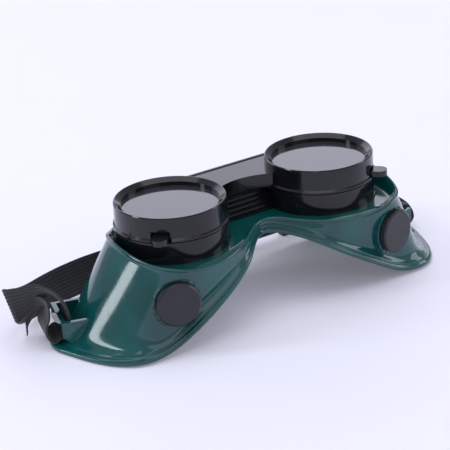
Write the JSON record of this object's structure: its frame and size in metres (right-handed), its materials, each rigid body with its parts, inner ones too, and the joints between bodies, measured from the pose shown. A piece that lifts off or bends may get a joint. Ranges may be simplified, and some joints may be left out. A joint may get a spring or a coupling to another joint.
{
  "type": "welding goggles",
  "caption": "Flip-up welding goggles: a soft green mask with round dark filters in a hinged black front, round vents and an elastic strap.",
  "frame": {"origin": "on the middle plane, level with the lens axes, at the height of the surface that the flange rests on", "axes": "+X across the eyes, +Y towards the brow, +Z out through the lenses; the wearer's face is on the -Z side"},
  "size_m": [0.2397, 0.0972, 0.065],
  "materials": {
    "green_pvc": "glossy soft PVC",
    "black_plastic": "glossy",
    "inner_plastic": "satin",
    "vent_plastic": "satin",
    "steel_pin": "brushed",
    "shade_glass": "polished dark filter glass",
    "clear_glass": "polished",
    "gasket_rubber": "matte",
    "elastic": "ribbed woven elastic"
  },
  "bodies": {
    "mask": {"goggle_body": "green_pvc", "socket_frame": "black_plastic", "hinge_pin": "steel_pin", "clear_lens_left": "clear_glass", "clear_lens_right": "clear_glass", "clear_gasket_left": "gasket_rubber", "clear_gasket_right": "gasket_rubber", "clear_retainer_left": "inner_plastic", "clear_retainer_right": "inner_plastic", "clamp_ring_left": "inner_plastic", "clamp_ring_right": "inner_plastic", "vent_cap_left_chin": "vent_plastic", "vent_cap_right_chin": "vent_plastic", "vent_cap_left_brow": "vent_plastic", "vent_cap_right_brow": "vent_plastic", "vent_seat_left_chin": "inner_plastic", "vent_seat_right_chin": "inner_plastic", "vent_seat_left_brow": "inner_plastic", "vent_seat_right_brow": "inner_plastic", "strap": "elastic"},
    "front": {"flip_front": "black_plastic", "shade_lens_left": "shade_glass", "shade_lens_right": "shade_glass", "shade_gasket_left": "gasket_rubber", "shade_gasket_right": "gasket_rubber"},
    "retainer_left": {"shade_retainer_left": "inner_plastic"},
    "retainer_right": {"shade_retainer_right": "inner_plastic"},
    "slider": {"strap_slider": "inner_plastic"}
  },
  "joints": [
    {"name": "flip_hinge", "type": "hinge", "parent": "mask", "child": "front", "pos_m": [0, 0.032, 0.055], "axis": [-1, 0, 0], "range_deg": [0, 100]},
    {"name": "retainer_left_twist", "type": "hinge", "parent": "front", "child": "retainer_left", "pos_m": [-0.0444, 0, 0.0545], "axis": [0, 0, 1], "range_deg": [-2.2, 2.2]},
    {"name": "retainer_right_twist", "type": "hinge", "parent": "front", "child": "retainer_right", "pos_m": [0.0444, 0, 0.0545], "axis": [0, 0, 1], "range_deg": [-2.2, 2.2]},
    {"name": "slider_slide", "type": "slide", "parent": "mask", "child": "slider", "axis": [1, 0, 0], "range_m": [-0.02, 0.02]}
  ]
}
